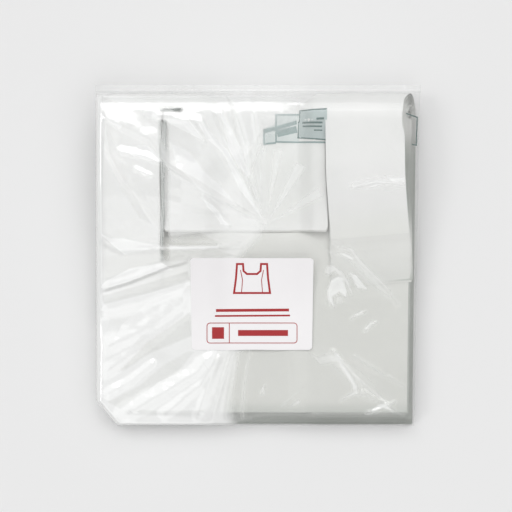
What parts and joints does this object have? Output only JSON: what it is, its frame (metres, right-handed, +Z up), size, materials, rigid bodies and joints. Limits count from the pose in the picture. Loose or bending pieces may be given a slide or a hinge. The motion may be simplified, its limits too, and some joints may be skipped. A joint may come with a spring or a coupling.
{
  "type": "pack of plastic carrier bags",
  "caption": "Flat retail pack of thin translucent vest carrier bags, folded with their handles over the front, in a clear film overwrap with a white paper label.",
  "frame": {"origin": "centre of the pack's footprint, on the surface it lies on", "axes": "+X across the bags towards the picture's right, +Y along the bags towards their fold, +Z up out of the pack's front"},
  "size_m": [0.241, 0.253, 0.0415],
  "materials": {
    "clear_film": "thin glossy clear plastic film",
    "bag_film": "milky translucent thin plastic film with a soft sheen",
    "label_paper": "smooth white paper with red print"
  },
  "bodies": {
    "root": {"overwrap_bag": "clear_film", "outer_carrier_bag": "bag_film", "carrier_bag_stack": "bag_film", "inner_carrier_bag": "bag_film", "label": "label_paper"}
  },
  "joints": []
}
